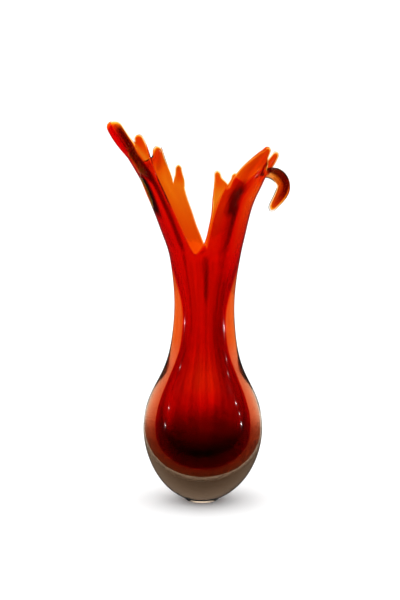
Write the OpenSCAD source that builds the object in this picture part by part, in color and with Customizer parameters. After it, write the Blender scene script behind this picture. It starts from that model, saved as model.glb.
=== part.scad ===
// Hand blown art glass vase: a heavy bulb on a ground foot, drawn up into a narrow neck and
// opened into two wings whose rims are pulled out into nine fingers.
// Millimetres, Z up, X to the right and Y to the rear. The origin is the middle of the foot,
// on the surface that the vase stands on.

/* [Body] */
// radius of the bulb at its widest
bulb_radius = 63.5; // [60:0.5:66]
// height of the widest ring of the bulb
bulb_height = 81; // [80:0.5:82]
// radius of the flat ground foot
foot_radius = 17; // [15:0.5:19]
// lean of the whole vase to the right, in degrees
lean = 0.7; // [0:0.1:1.2]

/* [Wings] */
// height of the bottom of the V between the two wings
notch_height = 264; // [262:1:270]
// thickness of the wing walls at the bottom of the V
wall_low = 6.5; // [5.5:0.1:7]
// thickness of the wing walls where the fingers start
wall_high = 5.2; // [4.5:0.1:6]
// share of the wing wall that is casing, outside the ruby lining
casing_share = 0.6; // [0.5:0.05:0.7]

/* [Pontil] */
// radius of the wad of glass that the punty left in the foot
pontil_radius = 12.5; // [10:0.5:13]
// depth of the recess that the wad fills
pontil_depth = 3.4; // [3:0.1:5]

/* [Detail] */
// facets round the bulb and neck
round_facets = 120; // [60:12:180]
// facets across each finger
across = 5; // [4:1:6]
// rows of facets up each wing
wing_rows = 9; // [7:1:11]
// rows of facets along each finger
finger_rows = 13; // [10:1:16]

/* [Hidden] */
right = 1;
left = -1;
foot_bevel = 3;          // height of the bevel round the foot
foot_flare = 19.6;       // radius at the top of that bevel
foot_cut = 1;            // glass ground off the round bottom to make the foot
base_bottom = 28;        // height of the bottom of the casing where it meets the base gather
base_cup = 56;           // radius of the cup in which the base gather holds the casing
base_cup_top = 84;       // height at which that cup would be widest
base_rim = 74;           // height up the wall that the base gather reaches
pontil_flat = 9.5;       // radius of the wad's ground face, level with the foot
pontil_groove = 1.4;     // depth of the scar round the edge of the wad
shoulder = 140;          // height at which the neck's lengths of casing and core begin
curve_step = 4;          // height of one step of a turned profile
edge_blunt = 0.45;       // thickness of a finger's edge against its middle
root_blend = 0.7;        // part of a finger over which the wing wall turns into the finger
row_crowding = 1.4;      // how much closer the rows are towards a finger's tip

// ---- turned outlines: each is a list of [height, radius] up from the bulb's widest ring ----
outer_line = [
    [81, 63.5], [103, 60], [120, 53], [136, 44.5], [153, 38], [178, 33.5], [210, 31.5],
    [240, 33.8], [264, 37.7]];
amber_line = [
    [77, 53], [93, 51.5], [107, 47.8], [133, 38.8], [160, 31.2], [190, 28.7], [212, 28.5],
    [240, 32], [264, 36.4]];
ruby_line = [
    [77, 43.5], [93, 42], [107, 38.6], [133, 30], [160, 21.8], [190, 19.2], [212, 21],
    [240, 26.8], [264, 33.9]];
bore_line = [
    [84, 37], [107, 35.4], [133, 27.3], [160, 19.2], [190, 16.7], [212, 18.6], [240, 24.4],
    [264, 31.2]];
amber_bottom = 30;
ruby_bottom = 38;
bore_bottom = 50;

// ---- wings: half tubes that lean apart ----
// each list gives, against height: how far the tube's centre has moved from the neck's axis
left_centre = [[264, 0], [280, -4], [300, -12], [320, -22.5], [337, -32], [370, -57.5]];
right_centre = [[264, 0], [280, 1.5], [300, 6], [320, 14], [335, 23.5], [350, 32]];
tube_radius = [[264, 37.7], [285, 39.8], [300, 39.2], [320, 37], [337, 34.5], [370, 29]];
// compass angles of the front and back edges of each wing, against height
left_front = [[264, 252], [280, 245], [337, 243], [352, 251], [370, 268]];
left_back = [[264, 87], [273, 90], [291, 92], [304, 89], [316, 86], [337, 77]];
right_front = [[264, -108], [277, -94], [300, -93], [315, -99], [337, -118]];
right_back = [[264, 87], [284, 85], [300, 86], [335, 88]];
// where one finger ends and the next begins: [share of the way from front to back, height]
left_root = [[0, 350], [0.14, 373], [0.55, 352], [0.89, 335], [1, 330]];
right_root = [[0, 320], [0.12, 334], [0.5, 352], [0.7, 340], [0.84, 334], [1, 322]];

// ---- fingers: [centre, half width, half thickness, direction of the width] up to the tip ----
left_front_path = [
    [[-66, -29, 375], 6.4, 3.3, [-0.8, 0.4, 0.2]],
    [[-68.2, -30, 381], 5.2, 3.1, [-0.9, 0.4, 0]],
    [[-70, -31, 387], 4.2, 2.7, [-0.9, 0.4, 0]]];
left_long_path = [
    [[-77.5, -5, 367], 13, 4.0, [-0.35, 0.9, -0.4]],
    [[-85, -7, 377], 12, 3.9, [-0.4, 0.85, -0.45]],
    [[-92.5, -8, 388], 11.5, 3.7, [-0.45, 0.8, -0.45]],
    [[-99, -9, 399.5], 10.5, 3.4, [-0.5, 0.75, -0.45]]];
left_back_path = [
    [[-52.5, 24, 353], 11.5, 3.2, [0.75, 0.6, -0.2]],
    [[-50.5, 21.5, 363.5], 7.2, 3.1, [0.75, 0.65, 0]],
    [[-52.2, 19, 374], 4.8, 2.7, [0.8, 0.6, 0]]];
left_rear_path = [
    [[-28, 33.5, 338], 5.4, 3, [1, 0.1, 0]],
    [[-28.7, 34, 346], 4.3, 2.8, [1, 0.1, 0]],
    [[-29.2, 34, 354.5], 3.7, 2.5, [1, 0.1, 0]]];
right_front_path = [
    [[14.3, -33, 335.5], 5.8, 3, [1, -0.2, 0.3]],
    [[12, -32, 344], 4.2, 2.8, [1, -0.3, 0]],
    [[11, -31, 352], 3.4, 2.4, [1, -0.3, 0]]];
right_broad_path = [
    [[48.5, -20, 353], 13.5, 3.2, [0.75, 0.6, -0.2]],
    [[56, -18, 363], 8.5, 3, [0.6, 0.6, -0.5]],
    [[61, -16, 369.5], 5.4, 2.8, [0.6, 0.6, -0.5]],
    [[64.5, -15, 375.5], 3.4, 2.5, [0.6, 0.6, -0.5]]];
right_hook_path = [
    [[66.5, 2, 349], 10, 3.6, [-0.2, 0.75, -0.65]],
    [[74, 2, 347], 9.4, 3.6, [-0.3, 0.45, -0.85]],
    [[80, 1, 341], 8.8, 3.5, [-0.7, 0.4, -0.6]],
    [[81.5, 0, 333], 8, 3.4, [-1, 0.4, 0]],
    [[77.5, -2, 324.5], 6.8, 3.3, [-1, 0.4, 0.5]],
    [[71.5, -4, 316], 5, 3.1, [-1, 0.4, 0.6]],
    [[67, -5, 308.8], 3.8, 2.7, [-1, 0.4, 0.6]]];
right_back_path = [
    [[58, 20, 346], 8, 3.1, [-0.6, 0.7, -0.25]],
    [[66, 18, 355.5], 6, 3, [-0.6, 0.7, 0]],
    [[71, 17, 363], 4.6, 2.8, [-0.6, 0.7, 0.2]],
    [[74.5, 16, 369.5], 3.4, 2.4, [-0.6, 0.7, 0.2]]];
right_rear_path = [
    [[31, 33, 333.5], 7.5, 2.9, [-1, 0.2, 0.2]],
    [[30.7, 33, 340], 4.6, 2.7, [-1, 0.1, 0]],
    [[30.5, 33, 346], 3.4, 2.3, [-1, 0.1, 0]]];

// ---- curves ----

// slope of a smooth curve at its knot i; a value may be a number or a vector
function knot_slope(line, i) =
    let (a = max(i - 1, 0), b = min(i + 1, len(line) - 1))
    (line[b][1] - line[a][1]) / (line[b][0] - line[a][0]);

// value at x of the smooth curve through a list of [x, value]
function smooth(line, x) =
    let (
        last = len(line) - 2,
        i = max([for (k = [0 : last]) k == 0 || x >= line[k][0] ? k : 0]),
        span = line[i + 1][0] - line[i][0],
        t = min(max((x - line[i][0]) / span, 0), 1),
        from = line[i][1], to = line[i + 1][1])
    from * (1 + 2 * t) * (1 - t) * (1 - t) + to * t * t * (3 - 2 * t)
        + knot_slope(line, i) * span * t * (1 - t) * (1 - t)
        - knot_slope(line, i + 1) * span * t * t * (1 - t);

function ease(t) = let (s = min(max(t, 0), 1)) s * s * (3 - 2 * s);

// radius at height z of a bubble: an elliptic bottom under the first knot, then its line
function bubble_radius(line, bottom, z) =
    let (widest = line[0][0])
    z < widest ? line[0][1] * sqrt(max(1 - pow((widest - z) / (widest - bottom), 2), 0))
        : smooth(line, z);

function outer_radius(z) =
    z < foot_bevel ? foot_radius + (foot_flare - foot_radius) * z / foot_bevel
        : z < bulb_height
            ? bulb_radius * sqrt(1 - pow((bulb_height - z) / (bulb_height + foot_cut), 2))
        : smooth(outer_line, z) + (bulb_radius - 63.5) * ease((136 - z) / 55);

// heights of a turned profile, closer together at the round bottom
function heights(bottom, top) =
    let (n = ceil((top - bottom) / curve_step))
    [for (i = [0 : n]) bottom + (top - bottom) * pow(i / n, 1.25)];

// one length of a bubble's outline, and of the vase's own
function bubble_profile(line, bottom, low, high) =
    [for (z = heights(low, high)) [bubble_radius(line, bottom, z), z]];
function outer_profile(low, high) = [for (z = heights(low, high)) [outer_radius(z), z]];

// the seam between the base gather and the casing: a round cup, then out to the wall
function seam_profile() = concat(
    [for (a = [0 : 6 : 72]) [base_cup * sin(a), base_cup_top - (base_cup_top - base_bottom) * cos(a)]],
    [[outer_radius(base_rim), base_rim]]);

function reversed(list) = [for (i = [len(list) - 1 : -1 : 0]) list[i]];

module turned(profile) rotate_extrude($fn = round_facets) polygon(profile);

module leaning() rotate([0, lean, 0]) children();

// ---- lofts ----

// A closed shell through rings of points. Each ring goes along its outer side and comes back
// along its inner side, so both ends are closed by a strip between the two sides.
module loft(rings, side) {
    n = len(rings[0]);
    m = len(rings);
    half = n / 2;
    skin = [for (i = [0 : m - 2], j = [0 : n - 1]) let (k = (j + 1) % n, a = i * n, b = a + n)
        each [[a + j, b + j, b + k], [a + j, b + k, a + k]]];
    start = [for (j = [0 : half - 2]) let (a = n - 1 - j)
        each [[j, j + 1, a - 1], [j, a - 1, a]]];
    end = [for (j = [0 : half - 2]) let (b = (m - 1) * n, a = n - 1 - j)
        each [[b + j, b + a - 1, b + j + 1], [b + j, b + a, b + a - 1]]];
    faces = concat(skin, start, end);
    polyhedron([for (ring = rings) each ring], side == right ? faces : [for (f = faces) reversed(f)]);
}

// ---- wings ----

function centre_line(side) = side == right ? right_centre : left_centre;
function root_line(side) = side == right ? right_root : left_root;
function front_edge(side, z) = smooth(side == right ? right_front : left_front, z);
function back_edge(side, z) = smooth(side == right ? right_back : left_back, z);

// height of the wing's top edge at share u of the way from its front edge to its back edge
function root_height(side, u) = lookup(u, root_line(side));

// a point of the wing wall: share u round the wing, share t up it, depth in from the outside
function wing_point(side, u, t, depth) =
    let (
        z = notch_height + (root_height(side, u) - notch_height) * t,
        turn = front_edge(side, z) + (back_edge(side, z) - front_edge(side, z)) * u,
        r = smooth(tube_radius, z) - depth)
    [smooth(centre_line(side), z) + r * cos(turn), r * sin(turn), z];

function wall_thickness(t) = wall_low + (wall_high - wall_low) * t;

// shares round the wing of every column, an equal number for each finger
function columns(root) =
    [for (k = [0 : len(root) - 2], j = [0 : across - 1])
        root[k][0] + (root[k + 1][0] - root[k][0]) * j / across, 1];

function wall_ring(side, shares, t, outside, inside) =
    let (wall = wall_thickness(t))
    concat(
        [for (u = shares) wing_point(side, u, t, wall * outside)],
        [for (u = reversed(shares)) wing_point(side, u, t, wall * inside)]);

module wing_layer(side, outside, inside)
    loft([for (i = [0 : wing_rows])
        wall_ring(side, columns(root_line(side)), i / wing_rows, outside, inside)], side);

// ---- fingers ----

function unit(v) = v / norm(v);

// shares round the wing of the columns that run up into finger k
function finger_columns(root, k) =
    [for (j = [0 : across]) root[k][0] + (root[k + 1][0] - root[k][0]) * j / across];

function middle(points) = [for (p = points) 1] * points / len(points);

// one ring of a finger: a curled bar with blunt edges, square to the finger's path
function bar_section(centre, along, station, curl, round_off, side) =
    let (
        w = station[0] * round_off,
        h = station[1] * (0.35 + 0.65 * round_off),
        toward = [station[2], station[3], station[4]],
        normal = side * unit(cross(toward, along)),
        width = side * unit(cross(along, normal)),
        shares = [for (j = [0 : across]) -cos(180 * j / across)],
        bar = function (s, face) centre + width * w * s
            + normal * (curl * w * (0.5 - s * s) + face * h * (edge_blunt + (1 - edge_blunt) * sqrt(1 - s * s))))
    concat([for (s = shares) bar(s, 1)], [for (s = reversed(shares)) bar(s, -1)]);

// finger k of a wing, drawn out of the wing's top edge along its path
module finger(side, k, path, curl) {
    root = wall_ring(side, finger_columns(root_line(side), k), 1, 0, 1);
    start = middle(root);
    stops = len(path);
    places = [[0, start], for (i = [1 : stops]) [i / stops, path[i - 1][0]]];
    first = path[0];
    stations = [
        [0, [first[1], first[2], first[3][0], first[3][1], first[3][2]]],
        for (i = [1 : stops]) let (p = path[i - 1])
            [i / stops, [p[1], p[2], p[3][0], p[3][1], p[3][2]]]];
    tip = 1 - 0.45 / stops;
    rings = [
        for (i = [0 : finger_rows])
            let (
                t = 1 - pow(1 - i / finger_rows, row_crowding),
                centre = smooth(places, t),
                along = unit(smooth(places, min(t + 0.02, 1)) - smooth(places, max(t - 0.02, 0))),
                late = max((t - tip) / (1 - tip), 0),
                round_off = sqrt(max(1 - late * late, 0.04)),
                section = bar_section(centre, along, smooth(stations, t), curl, round_off, side),
                b = ease(t / root_blend))
            [for (j = [0 : len(root) - 1])
                (centre + root[j] - start) * (1 - b) + section[j] * b]];
    loft(rings, side);
}

// ---- the vase ----

// heavy grey gather under the bulb, ground flat and recessed for the punty wad
module base_gather()
    color([0.45, 0.42, 0.36]) difference() {
        leaning() turned(concat(
            [[0, -1], [foot_radius, -1]],
            [for (z = heights(0, base_rim)) [outer_radius(z), z]],
            reversed(seam_profile())));
        translate([0, 0, -10]) cube([200, 200, 20], center = true);
        cylinder(h = 2 * pontil_depth, r = pontil_radius, center = true, $fn = round_facets);
    }

// wad of glass left where the punty was knocked off, ground level with the foot inside its scar
module pontil_wad()
    color([0.6, 0.58, 0.5]) turned(concat(
        [[0, 0]],
        [for (i = [0 : 4]) [pontil_flat + (pontil_radius - pontil_flat) * i / 4,
            pontil_groove * sin(22.5 * i)]],
        [[pontil_radius, pontil_depth], [0, pontil_depth]]));

// last clear gather, over the bulb and then over the neck
module bulb_casing()
    color([0.9, 0.85, 0.75, 0.5]) leaning() turned(concat(
        seam_profile(),
        [for (p = outer_profile(base_rim, shoulder)) if (p[1] > base_rim) p],
        reversed(bubble_profile(amber_line, amber_bottom, amber_bottom, shoulder))));

module neck_casing()
    color([0.9, 0.85, 0.75, 0.5]) leaning() turned(concat(
        outer_profile(shoulder, notch_height),
        reversed(bubble_profile(amber_line, amber_bottom, shoulder, notch_height))));

// amber gather between the clear casing and the ruby
module amber_casing()
    color([0.9, 0.45, 0.1]) leaning() turned(concat(
        bubble_profile(amber_line, amber_bottom, amber_bottom, notch_height),
        reversed(bubble_profile(ruby_line, ruby_bottom, ruby_bottom, notch_height))));

// first ruby gather, blown open; its inside is the inside of the vase
module ruby_length(low, high)
    color([0.7, 0.02, 0.01]) leaning() turned(concat(
        bubble_profile(ruby_line, ruby_bottom, max(low, ruby_bottom), high),
        reversed(bubble_profile(bore_line, bore_bottom, max(low, bore_bottom), high))));

module ruby_bulb() ruby_length(0, shoulder);

module ruby_neck() ruby_length(shoulder, notch_height);

// amber outer part of a wing's wall
module wing_casing(side)
    color([0.95, 0.4, 0.08]) leaning() wing_layer(side, 0, casing_share);

// ruby inner part of a wing's wall
module wing_lining(side)
    color([0.85, 0.12, 0.03]) leaning() wing_layer(side, casing_share, 1);

module pulled_finger(side, k, path, curl)
    color([0.95, 0.35, 0.05]) leaning() finger(side, k, path, curl);

base_gather();
pontil_wad();
bulb_casing();
neck_casing();
amber_casing();
ruby_bulb();
ruby_neck();
wing_casing(left);  // left_wing_casing
wing_lining(left);  // left_wing_lining
wing_casing(right);  // right_wing_casing
wing_lining(right);  // right_wing_lining
pulled_finger(left, 0, left_front_path, 0.15);  // finger_left_front
pulled_finger(left, 1, left_long_path, 0.45);  // finger_left_long
pulled_finger(left, 2, left_back_path, 0.15);  // finger_left_back
pulled_finger(left, 3, left_rear_path, 0.1);  // finger_left_rear
pulled_finger(right, 0, right_front_path, 0.1);  // finger_right_front
pulled_finger(right, 1, right_broad_path, 0.2);  // finger_right_broad
pulled_finger(right, 2, right_hook_path, -0.5);  // finger_right_hook
pulled_finger(right, 3, right_back_path, 0.1);  // finger_right_back
pulled_finger(right, 4, right_rear_path, 0.1);  // finger_right_rear
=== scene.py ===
import math
import bpy
import numpy as np
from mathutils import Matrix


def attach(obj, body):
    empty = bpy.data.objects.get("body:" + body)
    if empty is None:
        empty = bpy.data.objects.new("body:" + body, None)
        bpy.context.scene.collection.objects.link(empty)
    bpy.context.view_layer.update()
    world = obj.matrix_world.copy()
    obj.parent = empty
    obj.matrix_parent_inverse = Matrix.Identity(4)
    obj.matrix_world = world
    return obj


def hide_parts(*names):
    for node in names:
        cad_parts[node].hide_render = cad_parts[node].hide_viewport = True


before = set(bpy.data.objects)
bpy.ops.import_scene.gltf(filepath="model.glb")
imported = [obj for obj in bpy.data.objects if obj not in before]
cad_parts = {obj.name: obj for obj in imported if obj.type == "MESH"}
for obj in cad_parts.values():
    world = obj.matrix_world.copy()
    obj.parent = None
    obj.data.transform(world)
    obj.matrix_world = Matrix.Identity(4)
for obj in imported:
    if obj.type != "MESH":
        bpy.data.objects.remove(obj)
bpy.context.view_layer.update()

# ---------------------------------------------------------------------------
# The clear glass. One unbroken skin of fire polished glass: foot, bulb, neck, the two
# wings of the split mouth, and the nine fingers pulled out of their rims. It was blown
# as a bubble, sheared open hot, and each finger drawn out with tweezers.

MM = 0.001
LEAN = math.radians(0.7)      # the whole vase leans a little to the right
NOTCH = 264.0                 # height of the bottom of the V
BULB_HEIGHT = 81.0
BULB_RADIUS = 63.5
FOOT_FLARE = 3.0              # height at which the ground foot meets the round bottom
ACROSS = 8                    # columns of faces in each finger
WING_ROWS = 9
FINGER_ROWS = 13
WALL_LOW = 6.5                # wing wall at the V
WALL_HIGH = 5.2               # wing wall at the roots of the fingers
WING_ROUND = 95               # about how far it is round a wing's wall
TRAIL_ENDS = 14               # height over which a trail starts and stops
SWELL_WALL = 2.2              # thickest wall that a trail's swelling is worked out from
SWELL_LEAST = -0.9            # most that a trail thins a wall, as a share of it
SWELL_MOST = 1.3              # most that a trail thickens it
SUBDIVISIONS = 2

OUTER_LINE = [(81, 63.5), (103, 60), (120, 53), (136, 44.5), (153, 38), (178, 33.5),
              (210, 31.5), (240, 33.8), (264, 37.7)]
BORE_LINE = [(84, 37), (107, 35.4), (133, 27.3), (160, 19.2), (190, 16.7), (212, 18.6),
             (240, 24.4), (264, 31.2)]
BORE_BOTTOM = 50.0

# Each wing is half a tube: where its centre stands, and the compass angles of its front
# and back edges, all against height; then where each finger starts, as the share of the
# way from the front edge to the back edge and the height there.
TUBE_RADIUS = [(264, 37.7), (285, 39.8), (300, 39.2), (320, 37), (337, 34.5), (370, 29)]
LEFT_WING = {
    "side": -1,
    "centre": [(264, 0), (280, -4), (300, -12), (320, -22.5), (337, -32), (370, -57.5)],
    "front": [(264, 252), (280, 245), (337, 243), (352, 251), (370, 268)],
    "back": [(264, 87), (273, 90), (291, 92), (304, 89), (316, 86), (337, 77)],
    "roots": [(0, 350), (0.14, 373), (0.55, 352), (0.89, 335), (1, 330)],
}
RIGHT_WING = {
    "side": 1,
    "centre": [(264, 0), (280, 1.5), (300, 6), (320, 14), (335, 23.5), (350, 32)],
    "front": [(264, -108), (277, -94), (300, -93), (315, -99), (337, -118)],
    "back": [(264, 87), (284, 85), (300, 86), (335, 88)],
    "roots": [(0, 320), (0.12, 334), (0.5, 352), (0.7, 340), (0.84, 334), (1, 322)],
}

# Each finger, front to back round its wing: how much it is curled into a gutter, and its
# stations up to the tip as (x, y, z, half width, half thickness, direction of its width).
LEFT_FINGERS = [
    ("left_front", 0.15, [(-66, -29, 375, 6.4, 3.3, -0.8, 0.4, 0.2),
                          (-68.2, -30, 381, 5.2, 3.1, -0.9, 0.4, 0),
                          (-70, -31, 387, 4.2, 2.7, -0.9, 0.4, 0)]),
    ("left_long", 0.45, [(-77.5, -5, 367, 13, 4, -0.35, 0.9, -0.4),
                         (-85, -7, 377, 12, 3.9, -0.4, 0.85, -0.45),
                         (-92.5, -8, 388, 11.5, 3.7, -0.45, 0.8, -0.45),
                         (-99, -9, 399.5, 10.5, 3.4, -0.5, 0.75, -0.45)]),
    ("left_back", 0.15, [(-52.5, 24, 353, 11.5, 3.2, 0.75, 0.6, -0.2),
                         (-50.5, 21.5, 363.5, 7.2, 3.1, 0.75, 0.65, 0),
                         (-52.2, 19, 374, 4.8, 2.7, 0.8, 0.6, 0)]),
    ("left_rear", 0.1, [(-28, 33.5, 338, 5.4, 3, 1, 0.1, 0),
                        (-28.7, 34, 346, 4.3, 2.8, 1, 0.1, 0),
                        (-29.2, 34, 354.5, 3.7, 2.5, 1, 0.1, 0)]),
]
RIGHT_FINGERS = [
    ("right_front", 0.1, [(14.3, -33, 335.5, 5.8, 3, 1, -0.2, 0.3),
                          (12, -32, 344, 4.2, 2.8, 1, -0.3, 0),
                          (11, -31, 352, 3.4, 2.4, 1, -0.3, 0)]),
    ("right_broad", 0.2, [(48.5, -20, 353, 13.5, 3.2, 0.75, 0.6, -0.2),
                          (56, -18, 363, 8.5, 3, 0.6, 0.6, -0.5),
                          (61, -16, 369.5, 5.4, 2.8, 0.6, 0.6, -0.5),
                          (64.5, -15, 375.5, 3.4, 2.5, 0.6, 0.6, -0.5)]),
    ("right_hook", -0.5, [(66.5, 2, 349, 10, 3.6, -0.2, 0.75, -0.65),
                          (74, 2, 347, 9.4, 3.6, -0.3, 0.45, -0.85),
                          (80, 1, 341, 8.8, 3.5, -0.7, 0.4, -0.6),
                          (81.5, 0, 333, 8, 3.4, -1, 0.4, 0),
                          (77.5, -2, 324.5, 6.8, 3.3, -1, 0.4, 0.5),
                          (71.5, -4, 316, 5, 3.1, -1, 0.4, 0.6),
                          (67, -5, 308.8, 3.8, 2.7, -1, 0.4, 0.6)]),
    ("right_back", 0.1, [(58, 20, 346, 8, 3.1, -0.6, 0.7, -0.25),
                         (66, 18, 355.5, 6, 3, -0.6, 0.7, 0),
                         (71, 17, 363, 4.6, 2.8, -0.6, 0.7, 0.2),
                         (74.5, 16, 369.5, 3.4, 2.4, -0.6, 0.7, 0.2)]),
    ("right_rear", 0.1, [(31, 33, 333.5, 7.5, 2.9, -1, 0.2, 0.2),
                         (30.7, 33, 340, 4.6, 2.7, -1, 0.1, 0),
                         (30.5, 33, 346, 3.4, 2.3, -1, 0.1, 0)]),
]
LEFT_WING["fingers"] = LEFT_FINGERS
RIGHT_WING["fingers"] = RIGHT_FINGERS


def smooth(line, x):
    """Value at x of a smooth curve through knots: cubic pieces whose slope at each knot
    is the slope between its two neighbours. Knots may hold one number or a row of them."""
    knots = np.array([[k[0], *np.atleast_1d(k[1])] for k in line], float)
    xs = knots[:, 0]
    ys = knots[:, 1:]
    below = np.maximum(np.arange(len(xs)) - 1, 0)
    above = np.minimum(np.arange(len(xs)) + 1, len(xs) - 1)
    slopes = (ys[above] - ys[below]) / (xs[above] - xs[below])[:, None]
    x = np.asarray(x, float)
    i = np.clip(np.searchsorted(xs, x, side="right") - 1, 0, len(xs) - 2)
    span = (xs[i + 1] - xs[i])[..., None]
    t = np.clip((x - xs[i])[..., None] / span, 0, 1)
    value = (ys[i] * (1 + 2 * t) * (1 - t) ** 2 + ys[i + 1] * t * t * (3 - 2 * t)
             + slopes[i] * span * t * (1 - t) ** 2 - slopes[i + 1] * span * t * t * (1 - t))
    return value[..., 0] if ys.shape[1] == 1 else value


def ease(t):
    """0 below 0, 1 above 1, and a smooth step between."""
    s = np.clip(t, 0, 1)
    return s * s * (3 - 2 * s)


def unit(v):
    return v / np.linalg.norm(v, axis=-1, keepdims=True)


def bubble_radius(line, bottom, z):
    """Radius at height z of a blown bubble: half an ellipse under the first knot of its
    line, and the line above it."""
    widest, radius = line[0]
    dip = np.clip((widest - z) / (widest - bottom), 0, 1)
    return np.where(z < widest, radius * np.sqrt(1 - dip ** 2), smooth(line, z))


def outer_radius(z):
    """Outside radius at height z: an ellipse up to the bulb's widest ring, then its line."""
    dip = np.clip((BULB_HEIGHT - z) / (BULB_HEIGHT + 1), 0, 1)
    return np.where(z < BULB_HEIGHT, BULB_RADIUS * np.sqrt(1 - dip ** 2),
                    smooth(OUTER_LINE, z))


def columns(wing, inset):
    """Shares round a wing of its columns, ACROSS to each finger, kept inset from both ends."""
    starts = [root[0] for root in wing["roots"]]
    parts = [np.linspace(a, b, ACROSS, endpoint=False) for a, b in zip(starts, starts[1:])]
    shares = np.append(np.concatenate(parts), 1.0)
    return inset + (1 - 2 * inset) * shares


def wing_points(wing, shares, t, depth, sink):
    """Points of a wing's wall: share u round it, share t up it and depth in from outside.
    Height runs from the V to the roots of the fingers; the wall is a round tube about a
    centre that moves outwards with height, between its front and back edges."""
    top = np.interp(shares, *zip(*wing["roots"])) - sink
    low = NOTCH - sink
    z = low + (top - low)[None, :] * t[:, None]
    turn = np.radians(smooth(wing["front"], z) * (1 - shares)
                      + smooth(wing["back"], z) * shares)
    r = smooth(TUBE_RADIUS, z) - depth
    x = smooth(wing["centre"], z) + r * np.cos(turn)
    return np.stack([x, r * np.sin(turn), z], axis=-1), turn


def finger_rings(root, stations, curl, side, inset, reach):
    """Rings of points along one finger. A ring is a curled bar with blunt edges, square to
    a smooth path through the stations; near the root it turns into the wing's own edge,
    and near the tip it closes in a half round."""
    start = root.mean(axis=0)
    stops = len(stations)
    first = stations[0]
    places = [(0, start)] + [((i + 1) / stops, s[:3]) for i, s in enumerate(stations)]
    bars = [(0, first[3:])] + [((i + 1) / stops, s[3:]) for i, s in enumerate(stations)]
    rows = np.arange(1, FINGER_ROWS + 1) / FINGER_ROWS
    t = (1 - (1 - rows) ** 1.4) * reach
    centre = smooth(places, t)
    along = unit(smooth(places, np.minimum(t + 0.02, 1)) - smooth(places, t - 0.02))
    bar = smooth(bars, t)
    tip = 1 - 0.45 / stops
    late = np.clip((t / reach - tip) / (1 - tip), 0, 1)
    round_off = np.sqrt(np.maximum(1 - late ** 2, 0.04))
    width = np.maximum(bar[:, 0] * round_off - inset, 0.3)
    thick = np.maximum(bar[:, 1] * (0.35 + 0.65 * round_off) - inset, 0.25)
    normal = side * unit(np.cross(bar[:, 2:], along))
    across = side * unit(np.cross(along, normal))
    s = -np.cos(np.pi * np.arange(ACROSS + 1) / ACROSS)
    s = np.concatenate([s, s[::-1]])
    face = np.repeat([1.0, -1.0], ACROSS + 1)
    lift = (curl * width[:, None] * (0.5 - s ** 2)
            + face * thick[:, None] * (0.45 + 0.55 * np.sqrt(np.maximum(1 - s ** 2, 0))))
    bars_at = (centre[:, None] + across[:, None] * (width[:, None] * s)[..., None]
               + normal[:, None] * lift[..., None])
    blend = ease(t / 0.7)[:, None, None]
    return (centre[:, None] + root - start) * (1 - blend) + bars_at * blend


def strip(lower, upper):
    """Four-sided faces between two rows of point numbers, looking outwards when the rows
    run anticlockwise and upper lies above lower."""
    return np.stack([lower[:-1], lower[1:], upper[1:], upper[:-1]], axis=1)


def lean_over(points):
    """The vase's lean: a turn about the rear axis, let in over the first 40 mm so that the
    foot stays flat."""
    x, y, z = points.T
    return np.stack([x * math.cos(LEAN) + z * math.sin(LEAN), y,
                     z - x * math.sin(LEAN) * ease(z / 40)], axis=1)


# Trails of thick dark ruby (over 0) and of bare orange (under 0) in the wall: which wing, 0
# for both and the neck, then compass angle, spread, strength and the heights they run between.
# The dark trails are partly colour streaks and partly painted shade: they darken spots and
# bands on the wings and the right side of the bulb where shade falls.
TRAILS_AND_PAINTED_SHADE = [(0, -101, 8, -0.9, 120, 262), (0, -74, 8, -0.9, 110, 262), (0, -88, 10, 0.7, 215, 268),
          (0, -30, 26, 0.4, 90, 262), (0, -128, 14, -0.9, 160, 262), (0, -62, 9, 0.4, 60, 240),
          (1, -66, 13, 1.5, 308, 338), (1, -53, 8, 1.5, 262, 314), (1, -81, 8, -1.1, 262, 322),
          (1, -36, 7, -1.2, 245, 330), (1, 0, 38, -3.2, 262, 352), (1, -97, 8, -1.2, 275, 360),
          (1, -5, 14, 2.2, 345, 374), (-1, 198, 16, 2.6, 308, 342), (-1, 218, 8, -1.6, 250, 350),
          (-1, 231, 7, 1.0, 180, 345), (-1, 243, 8, -1.2, 200, 350), (-1, 186, 16, -1.4, 180, 300),
          (-1, 224, 14, 3.4, 345, 402), (-1, 185, 14, -2.0, 345, 420), (-1, 207, 7, 0.9, 262, 300),
          (-1, 246, 10, -2.2, 352, 430), (0, 176, 22, -0.9, 190, 262), (0, 2, 18, -0.9, 190, 262),
          (0, 115, 50, -0.8, 255, 345), (0, 62, 30, -0.8, 255, 345)]


def streaks_and_shade_at(points, flow):
    """How strongly each point is streaked, partly as painted shade: the sum over the trails of a
    bell curve round the wall times a soft start and a soft end in height."""
    turn = np.degrees(np.arctan2(flow[:, 1], flow[:, 0]))
    height = flow[:, 2] * 100
    total = np.zeros(len(points))
    for wing, angle, spread, strength, low, high in TRAILS_AND_PAINTED_SHADE:
        away = (turn - angle + 180) % 360 - 180
        ends = (ease((height - low) / TRAIL_ENDS + 0.5)
                * ease((high - height) / TRAIL_ENDS + 0.5))
        if wing:
            ends = ends * (points[:, 0] * wing > -1)
        total += strength * np.exp(-(away / spread) ** 2) * ends
    return total


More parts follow.
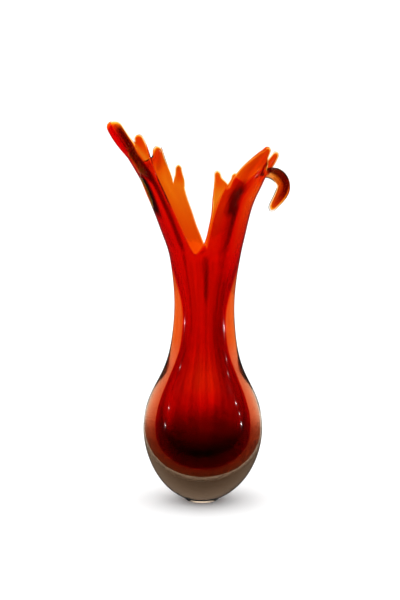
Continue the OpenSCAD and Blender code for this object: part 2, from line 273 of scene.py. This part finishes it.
def vessel(name, outer, inner, share_out, share_in, inset=0.0, reach=1.0, swell=0.0,
           material=None):
    """A closed wall of glass that follows the whole vase. outer and inner are profiles of
    (radius, height) from the axis up to the V; over the wings the wall lies between two
    shares of the wall's thickness, and it runs on up every finger. inset keeps an inner
    layer that far inside the free edges; swell makes the trails, which are partly painted
    shade, thicken its outer side."""
    points = []
    flows = []
    faces = []
    count = 0

    def add(block, turn, length):
        nonlocal count
        flat = block.reshape(-1, 3)
        points.append(flat)
        turn, length = np.broadcast_arrays(turn, length)
        flow = np.stack([np.cos(turn), np.sin(turn), length / 100], axis=-1)
        flows.append(np.broadcast_to(flow, block.shape).reshape(-1, 3))
        numbers = count + np.arange(len(flat)).reshape(block.shape[:-1])
        count += len(flat)
        return numbers

    edge = inset / WING_ROUND
    shares = {wing["side"]: columns(wing, 0) for wing in (RIGHT_WING, LEFT_WING)}
    right_turn = -108 + (87 + 108) * shares[1]
    left_turn = 252 + (87 - 252) * shares[-1]
    turn = np.radians(np.concatenate([right_turn, left_turn[::-1][1:-1]]))
    circle = np.stack([np.cos(turn), np.sin(turn)], axis=1)
    tops = []
    for profile, outward in ((outer, True), (inner, False)):
        r, z = profile[:, 0], profile[:, 1]
        grid = np.stack(np.broadcast_arrays(circle[:, 0], circle[:, 1], z[:, None] / 100),
                        axis=-1)
        place = grid * (r[:, None, None] + 1)
        trail_and_shade = streaks_and_shade_at(place.reshape(-1, 3), grid.reshape(-1, 3)).reshape(grid.shape[:2])
        thick = np.minimum(r - np.interp(z, inner[:, 1], inner[:, 0]), SWELL_WALL)
        thick = thick * ease((z - 70) / 20)
        thick = thick[:, None] * np.clip(swell * trail_and_shade, SWELL_LEAST, SWELL_MOST) * outward
        ring = np.concatenate([(r[:, None] + thick)[..., None] * circle,
                               np.broadcast_to(z[:, None, None], (len(z), len(turn), 1))], axis=2)
        rows = add(ring[1:], turn[None, :], z[1:, None])
        pole = add(np.array([[0, 0, z[0]]]), np.zeros(1), z[:1])
        loop = np.concatenate([rows, rows[:, :1]], axis=1)
        cap = np.stack([np.repeat(pole, len(turn)), loop[0, 1:], loop[0, :-1]], axis=1)
        quads = np.concatenate([strip(a, b) for a, b in zip(loop, loop[1:])])
        faces.append(cap if outward else cap[:, ::-1])
        faces.append(quads if outward else quads[:, ::-1])
        tops.append(rows[-1])

    n_right = len(shares[1])
    for wing in (RIGHT_WING, LEFT_WING):
        side = wing["side"]
        t = np.arange(1, WING_ROWS + 1) / WING_ROWS
        wall = WALL_LOW + (WALL_HIGH - WALL_LOW) * t[:, None]
        inset_shares = columns(wing, edge)
        grids = []
        thick = (share_in(shares[side], t) - share_out(shares[side], t)) * wall
        for top, share, outward in zip(tops, (share_out, share_in), (True, False)):
            sides = share(shares[side], t) * wall
            block, compass = wing_points(wing, inset_shares, t, sides, inset)
            if swell and outward:
                flow = np.stack([np.cos(compass), np.sin(compass), block[..., 2] / 100], axis=-1)
                trail_and_shade = streaks_and_shade_at(block.reshape(-1, 3), flow.reshape(-1, 3)).reshape(sides.shape)
                sides = sides - thick * np.clip(swell * trail_and_shade, SWELL_LEAST, SWELL_MOST)
                block, compass = wing_points(wing, inset_shares, t, sides, inset)
            numbers = add(block, compass, block[..., 2])
            base = top[:n_right] if side == 1 else np.append(top[0], top[n_right - 1:][::-1])
            grids.append((np.concatenate([base[None], numbers]), block[-1]))
            root_turn = compass[-1]
        (out, out_edge), (back, back_edge) = grids
        quads = [np.concatenate([strip(a, b) for a, b in zip(out, out[1:])]),
                 np.concatenate([strip(a, b) for a, b in zip(back, back[1:])])[:, ::-1],
                 strip(back[:, 0], out[:, 0])[:, ::-1],
                 strip(back[:, -1], out[:, -1])]
        for k, (finger, curl, stations) in enumerate(wing["fingers"]):
            span = slice(k * ACROSS, (k + 1) * ACROSS + 1)
            root = np.concatenate([out_edge[span], back_edge[span][::-1]])
            ring0 = np.concatenate([out[-1, span], back[-1, span][::-1]])
            bar = finger_rings(root, stations, curl, side, inset, reach)
            bar_turn = np.concatenate([root_turn[span], root_turn[span][::-1]])
            reached = np.linalg.norm(bar.mean(axis=1) - root.mean(axis=0), axis=1)
            rings = add(bar, bar_turn[None], root[:, 2] + reached[:, None])
            rings = np.concatenate([ring0[None], rings])
            loop = np.concatenate([rings, rings[:, :1]], axis=1)
            quads += [strip(a, b) for a, b in zip(loop, loop[1:])]
            last = rings[-1]
            quads.append(strip(last[:ACROSS + 1], last[:ACROSS:-1]))
        quads = np.concatenate(quads)
        faces.append(quads if side == 1 else quads[:, ::-1])

    mesh = bpy.data.meshes.new(name)
    places = lean_over(np.concatenate(points)) * MM
    mesh.from_pydata(places.tolist(), [], [f for block in faces for f in block.tolist()])
    mesh.shade_smooth()
    flow = mesh.attributes.new("flow", "FLOAT_VECTOR", "POINT")
    flow.data.foreach_set("vector", np.concatenate(flows).ravel())
    # the streak attribute holds the trails, which are partly painted shade
    marks = mesh.attributes.new("streak_and_shade", "FLOAT", "POINT")
    marks.data.foreach_set("value", streaks_and_shade_at(np.concatenate(points), np.concatenate(flows)))
    piece = bpy.data.objects.new(name, mesh)
    bpy.context.scene.collection.objects.link(piece)
    smoother = piece.modifiers.new("fire_polish", "SUBSURF")
    smoother.levels = SUBDIVISIONS
    smoother.render_levels = SUBDIVISIONS
    if material:
        mesh.materials.append(material)
    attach(piece, "root")
    return piece


def even(value):
    """A wall share that is the same everywhere."""
    return lambda u, t: np.full((len(t), len(u)), value)


def streaky_tint():
    """Node group: the colour of hot glass dragged out in threads, with painted shade laid in
    by the trails. Wavy noise drawn out along the flow of the wall, with the trails added,
    picks between a pale and a deep tint."""
    group = bpy.data.node_groups.new("drawn_threads_and_shade", "ShaderNodeTree")
    for label, kind in (("Pale", "NodeSocketColor"), ("Deep", "NodeSocketColor"),
                        ("Threads", "NodeSocketFloat"), ("Trails and Shade", "NodeSocketFloat"),
                        ("Middle", "NodeSocketFloat")):
        group.interface.new_socket(label, in_out="INPUT", socket_type=kind)
    group.interface.new_socket("Color", in_out="OUTPUT", socket_type="NodeSocketColor")
    given = group.nodes.new("NodeGroupInput")
    result = group.nodes.new("NodeGroupOutput")
    flow = group.nodes.new("ShaderNodeAttribute")
    flow.attribute_name = "flow"
    marks = group.nodes.new("ShaderNodeAttribute")
    marks.attribute_name = "streak_and_shade"
    drawn = group.nodes.new("ShaderNodeMapping")
    drawn.inputs["Scale"].default_value = (6, 6, 0.8)
    group.links.new(flow.outputs["Vector"], drawn.inputs["Vector"])
    noise = group.nodes.new("ShaderNodeTexNoise")
    noise.inputs["Scale"].default_value = 1.0
    noise.inputs["Detail"].default_value = 4.0
    noise.inputs["Distortion"].default_value = 0.5
    group.links.new(drawn.outputs["Vector"], noise.inputs["Vector"])
    threads = group.nodes.new("ShaderNodeMath")
    threads.operation = "MULTIPLY_ADD"
    group.links.new(noise.outputs["Fac"], threads.inputs[0])
    group.links.new(given.outputs["Threads"], threads.inputs[1])
    group.links.new(given.outputs["Middle"], threads.inputs[2])
    both = group.nodes.new("ShaderNodeMath")
    both.operation = "MULTIPLY_ADD"
    both.use_clamp = True
    group.links.new(marks.outputs["Fac"], both.inputs[0])
    group.links.new(given.outputs["Trails and Shade"], both.inputs[1])
    group.links.new(threads.outputs["Value"], both.inputs[2])
    mix = group.nodes.new("ShaderNodeMix")
    mix.data_type = "RGBA"
    group.links.new(both.outputs["Value"], mix.inputs["Factor"])
    group.links.new(given.outputs["Pale"], mix.inputs["A"])
    group.links.new(given.outputs["Deep"], mix.inputs["B"])
    group.links.new(mix.outputs["Result"], result.inputs["Color"])
    return group


def glass(name, colour, ior=1.17, stain=None, depth=0.0, deep=None, threads=0.0, trails_and_shade=0.0):
    """Glass: a clear dielectric with a plain transmission weight. stain is the colour that
    is left of white light after a path of one over depth, in metres, through it; with a
    deep colour the wall is threaded between it and its own colour, and the trails, partly
    painted shade, move it towards the deep colour."""
    material = bpy.data.materials.new(name)
    material.use_nodes = True
    nodes = material.node_tree.nodes
    links = material.node_tree.links
    shader = nodes["Principled BSDF"]
    shader.inputs["Base Color"].default_value = (*colour, 1)
    shader.inputs["Roughness"].default_value = 0
    shader.inputs["IOR"].default_value = ior
    shader.inputs["Transmission Weight"].default_value = 1
    if stain:
        body = nodes.new("ShaderNodeVolumeAbsorption")
        body.inputs["Color"].default_value = (*stain, 1)
        body.inputs["Density"].default_value = depth
        links.new(body.outputs["Volume"], nodes["Material Output"].inputs["Volume"])
    if deep:
        tint = nodes.new("ShaderNodeGroup")
        tint.node_tree = bpy.data.node_groups.get("drawn_threads_and_shade") or streaky_tint()
        tint.inputs["Pale"].default_value = (*colour, 1)
        tint.inputs["Deep"].default_value = (*deep, 1)
        tint.inputs["Threads"].default_value = threads
        tint.inputs["Trails and Shade"].default_value = trails_and_shade
        tint.inputs["Middle"].default_value = 0.16 - threads / 2
        links.new(tint.outputs["Color"], shader.inputs["Base Color"])
    return material


def fire_polish(material, ground):
    """The skin's own surface: a slow waviness drawn out along the flow of the wall, a shine
    that is a little soft, and a ground, matt foot below the given height."""
    nodes = material.node_tree.nodes
    links = material.node_tree.links
    shader = nodes["Principled BSDF"]
    flow = nodes.new("ShaderNodeAttribute")
    flow.attribute_name = "flow"
    drawn = nodes.new("ShaderNodeMapping")
    drawn.inputs["Scale"].default_value = (4, 4, 0.8)
    links.new(flow.outputs["Vector"], drawn.inputs["Vector"])
    drag = nodes.new("ShaderNodeTexNoise")
    drag.inputs["Scale"].default_value = 1.0
    drag.inputs["Detail"].default_value = 1.0
    links.new(drawn.outputs["Vector"], drag.inputs["Vector"])
    wave = nodes.new("ShaderNodeBump")
    wave.inputs["Strength"].default_value = 0.3
    wave.inputs["Distance"].default_value = 0.0008
    links.new(drag.outputs["Fac"], wave.inputs["Height"])
    links.new(wave.outputs["Normal"], shader.inputs["Normal"])
    place = nodes.new("ShaderNodeTexCoord")
    height = nodes.new("ShaderNodeSeparateXYZ")
    links.new(place.outputs["Object"], height.inputs["Vector"])
    foot_matt = nodes.new("ShaderNodeMapRange")
    foot_matt.inputs["From Min"].default_value = ground
    foot_matt.inputs["From Max"].default_value = ground + 0.0004
    foot_matt.inputs["To Min"].default_value = 0.35
    foot_matt.inputs["To Max"].default_value = 0.08
    links.new(height.outputs["Z"], foot_matt.inputs["Value"])
    links.new(foot_matt.outputs["Result"], shader.inputs["Roughness"])


def rows_between(bottom, top, count):
    """Heights from bottom to top, closer together near the bottom."""
    return bottom + (top - bottom) * np.linspace(0, 1, count) ** 1.35


foot = [(0, 3.4), (6, 3.4), (11.6, 3.4), (12.4, 3.3), (12.6, 2.6), (12.6, 0.6), (12.9, 0.1),
        (13.6, 0), (16, 0), (16.8, 0.1), (17.6, 0.8), (19.6, 3)]
heights = rows_between(FOOT_FLARE, NOTCH, 26)[1:]
skin_outside = np.concatenate([foot, np.stack([outer_radius(heights), heights], axis=1)])
heights = rows_between(BORE_BOTTOM, NOTCH, 26)
skin_inside = np.stack([bubble_radius(BORE_LINE, BORE_BOTTOM, heights), heights], axis=1)

clear = glass("clear_glass", (1.0, 0.9, 0.8), stain=(0.8, 0.7, 0.6), depth=12)
fire_polish(clear, 0.0002)
skin = vessel("clear_glass_skin", skin_outside, skin_inside, even(0.0), even(1.0),
              material=clear)
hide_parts("bulb_casing", "neck_casing")

# ---------------------------------------------------------------------------
# The amber gather. A coat between the clear casing and the ruby: brown under the bulb, orange
# along the neck. It fills nearly the whole wall of the wings and runs on up the fingers.

AMBER_LINE = [(77, 53), (93, 51.5), (107, 47.8), (133, 38.8), (160, 31.2), (190, 28.7),
              (212, 28.5), (240, 32), (264, 36.4)]
AMBER_BOTTOM = 30.0
INSET = 0.7


def between(low, high):
    """A wall share that goes evenly from low at the V to high under the fingers."""
    return lambda u, t: np.broadcast_to(low + (high - low) * t[:, None], (len(t), len(u)))


def strong_orange(material):
    """The amber's tint: brown under the bulb's widest ring, nearly none above it, strong where
    it was drawn out along the neck, and gone again at the V, with threads in it all the way."""
    nodes = material.node_tree.nodes
    links = material.node_tree.links
    flow = nodes.new("ShaderNodeAttribute")
    flow.attribute_name = "flow"
    height = nodes.new("ShaderNodeSeparateXYZ")
    links.new(flow.outputs["Vector"], height.inputs["Vector"])
    rise = nodes.new("ShaderNodeMapRange")
    rise.interpolation_type = "SMOOTHSTEP"
    rise.inputs["From Min"].default_value = 1.2
    rise.inputs["From Max"].default_value = 1.75
    links.new(height.outputs["Z"], rise.inputs["Value"])
    fade = nodes.new("ShaderNodeMapRange")
    fade.interpolation_type = "SMOOTHSTEP"
    fade.inputs["From Min"].default_value = 3.4
    fade.inputs["From Max"].default_value = 2.7
    links.new(height.outputs["Z"], fade.inputs["Value"])
    band = nodes.new("ShaderNodeMath")
    band.operation = "MULTIPLY"
    links.new(rise.outputs["Result"], band.inputs[0])
    links.new(fade.outputs["Result"], band.inputs[1])
    tint = nodes.new("ShaderNodeMix")
    tint.data_type = "RGBA"
    tint.inputs["A"].default_value = (1, 1, 1, 1)
    tint.inputs["B"].default_value = (0.86, 0.26, 0.025, 1)
    links.new(band.outputs["Value"], tint.inputs["Factor"])
    threads = nodes.new("ShaderNodeGroup")
    threads.node_tree = bpy.data.node_groups.get("drawn_threads_and_shade") or streaky_tint()
    threads.inputs["Deep"].default_value = (0.92, 0.6, 0.3, 1)
    threads.inputs["Threads"].default_value = 1.2
    threads.inputs["Middle"].default_value = -0.4
    links.new(tint.outputs["Result"], threads.inputs["Pale"])
    brown = nodes.new("ShaderNodeMapRange")
    brown.interpolation_type = "SMOOTHSTEP"
    brown.inputs["From Min"].default_value = 0.96
    brown.inputs["From Max"].default_value = 0.7
    links.new(height.outputs["Z"], brown.inputs["Value"])
    lower = nodes.new("ShaderNodeMix")
    lower.data_type = "RGBA"
    lower.inputs["B"].default_value = (0.4, 0.18, 0.11, 1)
    links.new(brown.outputs["Result"], lower.inputs["Factor"])
    links.new(threads.outputs["Color"], lower.inputs["A"])
    links.new(lower.outputs["Result"], nodes["Principled BSDF"].inputs["Base Color"])


def layer_profiles(line, bottom, inset, gap, bore_rise):
    """The outer and inner profiles of a gather inside the vase: its own line outside, and
    the bore, stood off by gap, inside."""
    heights = rows_between(bottom, NOTCH - inset, 22)
    outside = np.stack([bubble_radius(line, bottom, heights), heights], axis=1)
    floor_height = BORE_BOTTOM - bore_rise
    heights = rows_between(floor_height, NOTCH - inset, 22)
    inside = np.stack([bubble_radius(BORE_LINE, floor_height, heights) + gap, heights], axis=1)
    inside[0, 0] = 0
    return outside, inside


amber = glass("amber_glass", (1, 1, 1), ior=1.0, stain=(0.87, 0.4, 0.16), depth=62)
strong_orange(amber)
amber_layer = vessel("amber_gather", *layer_profiles(AMBER_LINE, AMBER_BOTTOM, INSET, 0.3, 0.5),
                     between(0.03, 0.1), between(0.94, 0.94), inset=INSET, reach=0.98,
                     material=amber)
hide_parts("amber_casing", "left_wing_casing", "right_wing_casing")

# ---------------------------------------------------------------------------
# The orange glass. The same colour drawn out: it wraps the ruby in the neck, fills the
# inner half of the wings and nearly the whole of each finger.

ORANGE_LINE = [(77, 43.8), (93, 42.3), (107, 38.9), (133, 30.3), (160, 22.2), (190, 19.7),
               (212, 21.6), (240, 27.8), (264, 34.9)]
ORANGE_BOTTOM = 37.5

orange = glass("orange_glass", (1, 1, 1), ior=1.0, stain=(0.99, 0.78, 0.0), depth=1500,
               deep=(0.96, 0.6, 0.4), threads=1.5)
orange_layer = vessel("orange_gather",
                      *layer_profiles(ORANGE_LINE, ORANGE_BOTTOM, 1.5 * INSET, 0.6, 1.0),
                      between(0.4, 0.15), between(0.9, 0.88), inset=1.5 * INSET, reach=0.97,
                      swell=0.3, material=orange)
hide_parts(*["finger_" + f[0] for f in LEFT_FINGERS + RIGHT_FINGERS])

# ---------------------------------------------------------------------------
# The ruby core. The first gather, blown open: thick and nearly black at its bottom, thin
# in the wings, where it lines the inside of the wall.

RUBY_LINE = [(77, 43.5), (93, 42), (107, 38.6), (133, 30), (160, 21.8), (190, 19.2), (212, 21),
             (240, 26.8), (264, 33.9)]
RUBY_BOTTOM = 38.0

# the ruby's trails darken it towards its deep colour, partly as painted shade on the wings and the
# right side of the bulb
ruby = glass("ruby_glass", (0.86, 0.62, 0.5), ior=1.0, stain=(0.992, 0.62, 0.35), depth=1000,
             deep=(0.13, 0.02, 0.012), threads=1.2, trails_and_shade=0.8)
ruby_layer = vessel("ruby_core", *layer_profiles(RUBY_LINE, RUBY_BOTTOM, 2 * INSET, 0.9, 1.5),
                    between(0.52, 0.5), between(0.84, 0.84), inset=2.4 * INSET, reach=0.93,
                    swell=0.85, material=ruby)
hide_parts("ruby_bulb", "ruby_neck", "left_wing_lining", "right_wing_lining")

# ---------------------------------------------------------------------------
# The smoky base. A heavy grey gather under the bulb, hollowed on top to take it.

SEAM_BOTTOM = 28.0
SEAM_CUP = 56.0
SEAM_CUP_TOP = 84.0
SEAM_RIM = 74.0


def turned(name, profile, segments, material):
    """A solid of revolution: the profile of (radius, height) carried round the axis, with
    a point at each end."""
    turn = np.linspace(0, 2 * math.pi, segments, endpoint=False)
    circle = np.stack([np.cos(turn), np.sin(turn)], axis=1)
    r, z = profile[1:-1, 0], profile[1:-1, 1]
    ring = np.concatenate([r[:, None, None] * circle, np.broadcast_to(
        z[:, None, None], (len(z), segments, 1))], axis=2)
    count = ring.shape[0] * segments
    rows = np.arange(count).reshape(-1, segments)
    loop = np.concatenate([rows, rows[:, :1]], axis=1)
    low = np.stack([np.full(segments, count), loop[0, 1:], loop[0, :-1]], axis=1)
    high = np.stack([np.full(segments, count + 1), loop[-1, :-1], loop[-1, 1:]], axis=1)
    quads = np.concatenate([strip(a, b) for a, b in zip(loop, loop[1:])])
    points = np.concatenate([ring.reshape(-1, 3), [[0, 0, profile[0, 1]]],
                             [[0, 0, profile[-1, 1]]]])
    mesh = bpy.data.meshes.new(name)
    mesh.from_pydata((lean_over(points) * MM).tolist(), [],
                     low.tolist() + quads.tolist() + high.tolist())
    mesh.shade_smooth()
    mesh.materials.append(material)
    piece = bpy.data.objects.new(name, mesh)
    bpy.context.scene.collection.objects.link(piece)
    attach(piece, "root")
    return piece


heights = rows_between(4.2, SEAM_RIM, 30)
base_wall = np.stack([outer_radius(heights) - 1.6, heights], axis=1)
cup = np.radians(np.linspace(72, 0, 16))
seam = np.stack([SEAM_CUP * np.sin(cup),
                 SEAM_CUP_TOP - (SEAM_CUP_TOP - SEAM_BOTTOM) * np.cos(cup)], axis=1)
smoke = glass("smoky_glass", (1, 1, 1), ior=1.0, stain=(0.42, 0.34, 0.26), depth=47)
base = turned("smoky_base", np.concatenate([[[0, 4.2]], base_wall, seam]), 96, smoke)
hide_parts("base_gather")

# ---------------------------------------------------------------------------
# The punty wad. A button of clear glass in the middle of the foot, ground level with it.

wad_profile = np.array([(0, 0), (5, 0), (9.2, 0), (9.8, 0.2), (10.8, 1.0), (11.8, 1.4),
                        (12.2, 1.7), (12.2, 2.9), (11.8, 3.1), (6, 3.1), (0, 3.1)], float)
wad_glass = glass("wad_glass", (0.97, 0.96, 0.92))
wad = turned("punty_wad", wad_profile, 64, wad_glass)
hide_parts("pontil_wad")

# ---------------------------------------------------------------------------
# The studio. A round sheet of pale paper, flat under the vase and curved up to a low wall
# all round; soft light comes from above it, and the room beyond it is dim.

PAPER_FLAT = 2.6
PAPER_BEND = 1.4
PAPER_WALL = 2.3
PAPER_SEGMENTS = 72


def round_sheet(name, radius, height, closed):
    """A sheet of revolution: rows of (radius, height) carried round the axis with its upper
    side facing in, and filled in the middle when closed."""
    turn = np.linspace(0, 2 * math.pi, PAPER_SEGMENTS, endpoint=False)
    ring = np.stack([radius[:, None] * np.cos(turn), radius[:, None] * np.sin(turn),
                     np.broadcast_to(height[:, None], (len(height), len(turn)))], axis=-1)
    rows = np.arange(ring.shape[0] * PAPER_SEGMENTS).reshape(-1, PAPER_SEGMENTS)
    loop = np.concatenate([rows, rows[:, :1]], axis=1)
    quads = np.concatenate([strip(b, a) for a, b in zip(loop, loop[1:])]).tolist()
    mesh = bpy.data.meshes.new(name)
    mesh.from_pydata(ring.reshape(-1, 3).tolist(), [], quads + [rows[0].tolist()] * closed)
    mesh.shade_smooth()
    mesh.materials.append(paper)
    sheet = bpy.data.objects.new(name, mesh)
    sheet.visible_glossy = False
    bpy.context.scene.collection.objects.link(sheet)
    return sheet


paper = bpy.data.materials.new("studio_paper")
paper.use_nodes = True
sheen = paper.node_tree.nodes["Principled BSDF"].inputs
sheen["Base Color"].default_value = (0.93, 0.93, 0.93, 1)
sheen["Roughness"].default_value = 0.9
sheen["Specular IOR Level"].default_value = 0
round_sheet("studio_floor", np.linspace(0.2, PAPER_FLAT, 8), np.zeros(8), True)
bend = np.linspace(0, math.pi / 2, 14)
wall = round_sheet("studio_wall", np.append(PAPER_FLAT + PAPER_BEND * np.sin(bend),
                                            PAPER_FLAT + PAPER_BEND),
                   np.append(PAPER_BEND * (1 - np.cos(bend)), PAPER_WALL), False)
wall.visible_transmission = False

# two arcs of small round lamps, one each side of the vase and a little in front of it: each
# lamp leaves one bright point on the polished glass
LAMP_DISTANCE = 2.1
LAMP_RADIUS = 0.03
LAMP_STRENGTH = 14000
for side, count in ((-1, 4), (1, 6)):
    for number, rise in enumerate(np.radians(np.linspace(0, 60, count))):
        name = "studio_lamp_%s_%d" % ("left" if side < 0 else "right", number)
        bulb = bpy.data.lights.new(name, "POINT")
        bulb.shadow_soft_size = LAMP_RADIUS
        bulb.energy = LAMP_STRENGTH * LAMP_RADIUS ** 2
        lamp = bpy.data.objects.new(name, bulb)
        lamp.location = (LAMP_DISTANCE * side * math.cos(rise), -0.2 * LAMP_DISTANCE,
                         0.1 + LAMP_DISTANCE * math.sin(rise))
        lamp.visible_camera = False
        lamp.visible_diffuse = False
        lamp.visible_transmission = False
        bpy.context.scene.collection.objects.link(lamp)

world = bpy.data.worlds.new("studio_air")
bpy.context.scene.world = world
world.use_nodes = True
air = world.node_tree
sky = air.nodes["Background"]
sky.inputs["Color"].default_value = (1, 1, 1, 1)
path = air.nodes.new("ShaderNodeLightPath")
direction = air.nodes.new("ShaderNodeTexCoord")
height = air.nodes.new("ShaderNodeSeparateXYZ")
air.links.new(direction.outputs["Generated"], height.inputs["Vector"])
overhead = air.nodes.new("ShaderNodeMapRange")
overhead.interpolation_type = "SMOOTHSTEP"
overhead.inputs["From Min"].default_value = 0.35
overhead.inputs["From Max"].default_value = 0.95
overhead.inputs["To Min"].default_value = 1.0
overhead.inputs["To Max"].default_value = 0.45
air.links.new(height.outputs["Z"], overhead.inputs["Value"])
reflected = air.nodes.new("ShaderNodeMath")
reflected.operation = "SUBTRACT"
reflected.use_clamp = True
air.links.new(path.outputs["Is Glossy Ray"], reflected.inputs[0])
air.links.new(path.outputs["Is Transmission Ray"], reflected.inputs[1])
sideways = air.nodes.new("ShaderNodeMapRange")
sideways.inputs["From Min"].default_value = -0.9
sideways.inputs["From Max"].default_value = 0.9
sideways.inputs["To Min"].default_value = 0.9
sideways.inputs["To Max"].default_value = 1.2
air.links.new(height.outputs["X"], sideways.inputs["Value"])
beyond = air.nodes.new("ShaderNodeMath")
beyond.operation = "MULTIPLY"
air.links.new(overhead.outputs["Result"], beyond.inputs[0])
air.links.new(sideways.outputs["Result"], beyond.inputs[1])
mirror = air.nodes.new("ShaderNodeMix")
mirror.inputs["B"].default_value = 0.05
air.links.new(reflected.outputs["Value"], mirror.inputs["Factor"])
air.links.new(beyond.outputs["Value"], mirror.inputs["A"])
soft = air.nodes.new("ShaderNodeMix")
soft.inputs["B"].default_value = 1.6
air.links.new(path.outputs["Is Diffuse Ray"], soft.inputs["Factor"])
air.links.new(mirror.outputs["Result"], soft.inputs["A"])
air.links.new(soft.outputs["Result"], sky.inputs["Strength"])

camera_data = bpy.data.cameras.new("camera")
camera_data.lens = 91.6
camera_data.clip_start = 0.05
camera = bpy.data.objects.new("camera", camera_data)
bpy.context.scene.collection.objects.link(camera)
elevation = math.radians(8)
distance = 1.6
camera.location = (-0.002, -distance * math.cos(elevation),
                   0.2145 + distance * math.sin(elevation))
camera.rotation_euler = (math.pi / 2 - elevation, 0, 0)
bpy.context.scene.camera = camera

scene = bpy.context.scene
scene.view_settings.view_transform = "Standard"
scene.cycles.max_bounces = 40
scene.cycles.transmission_bounces = 40
scene.cycles.transparent_max_bounces = 40
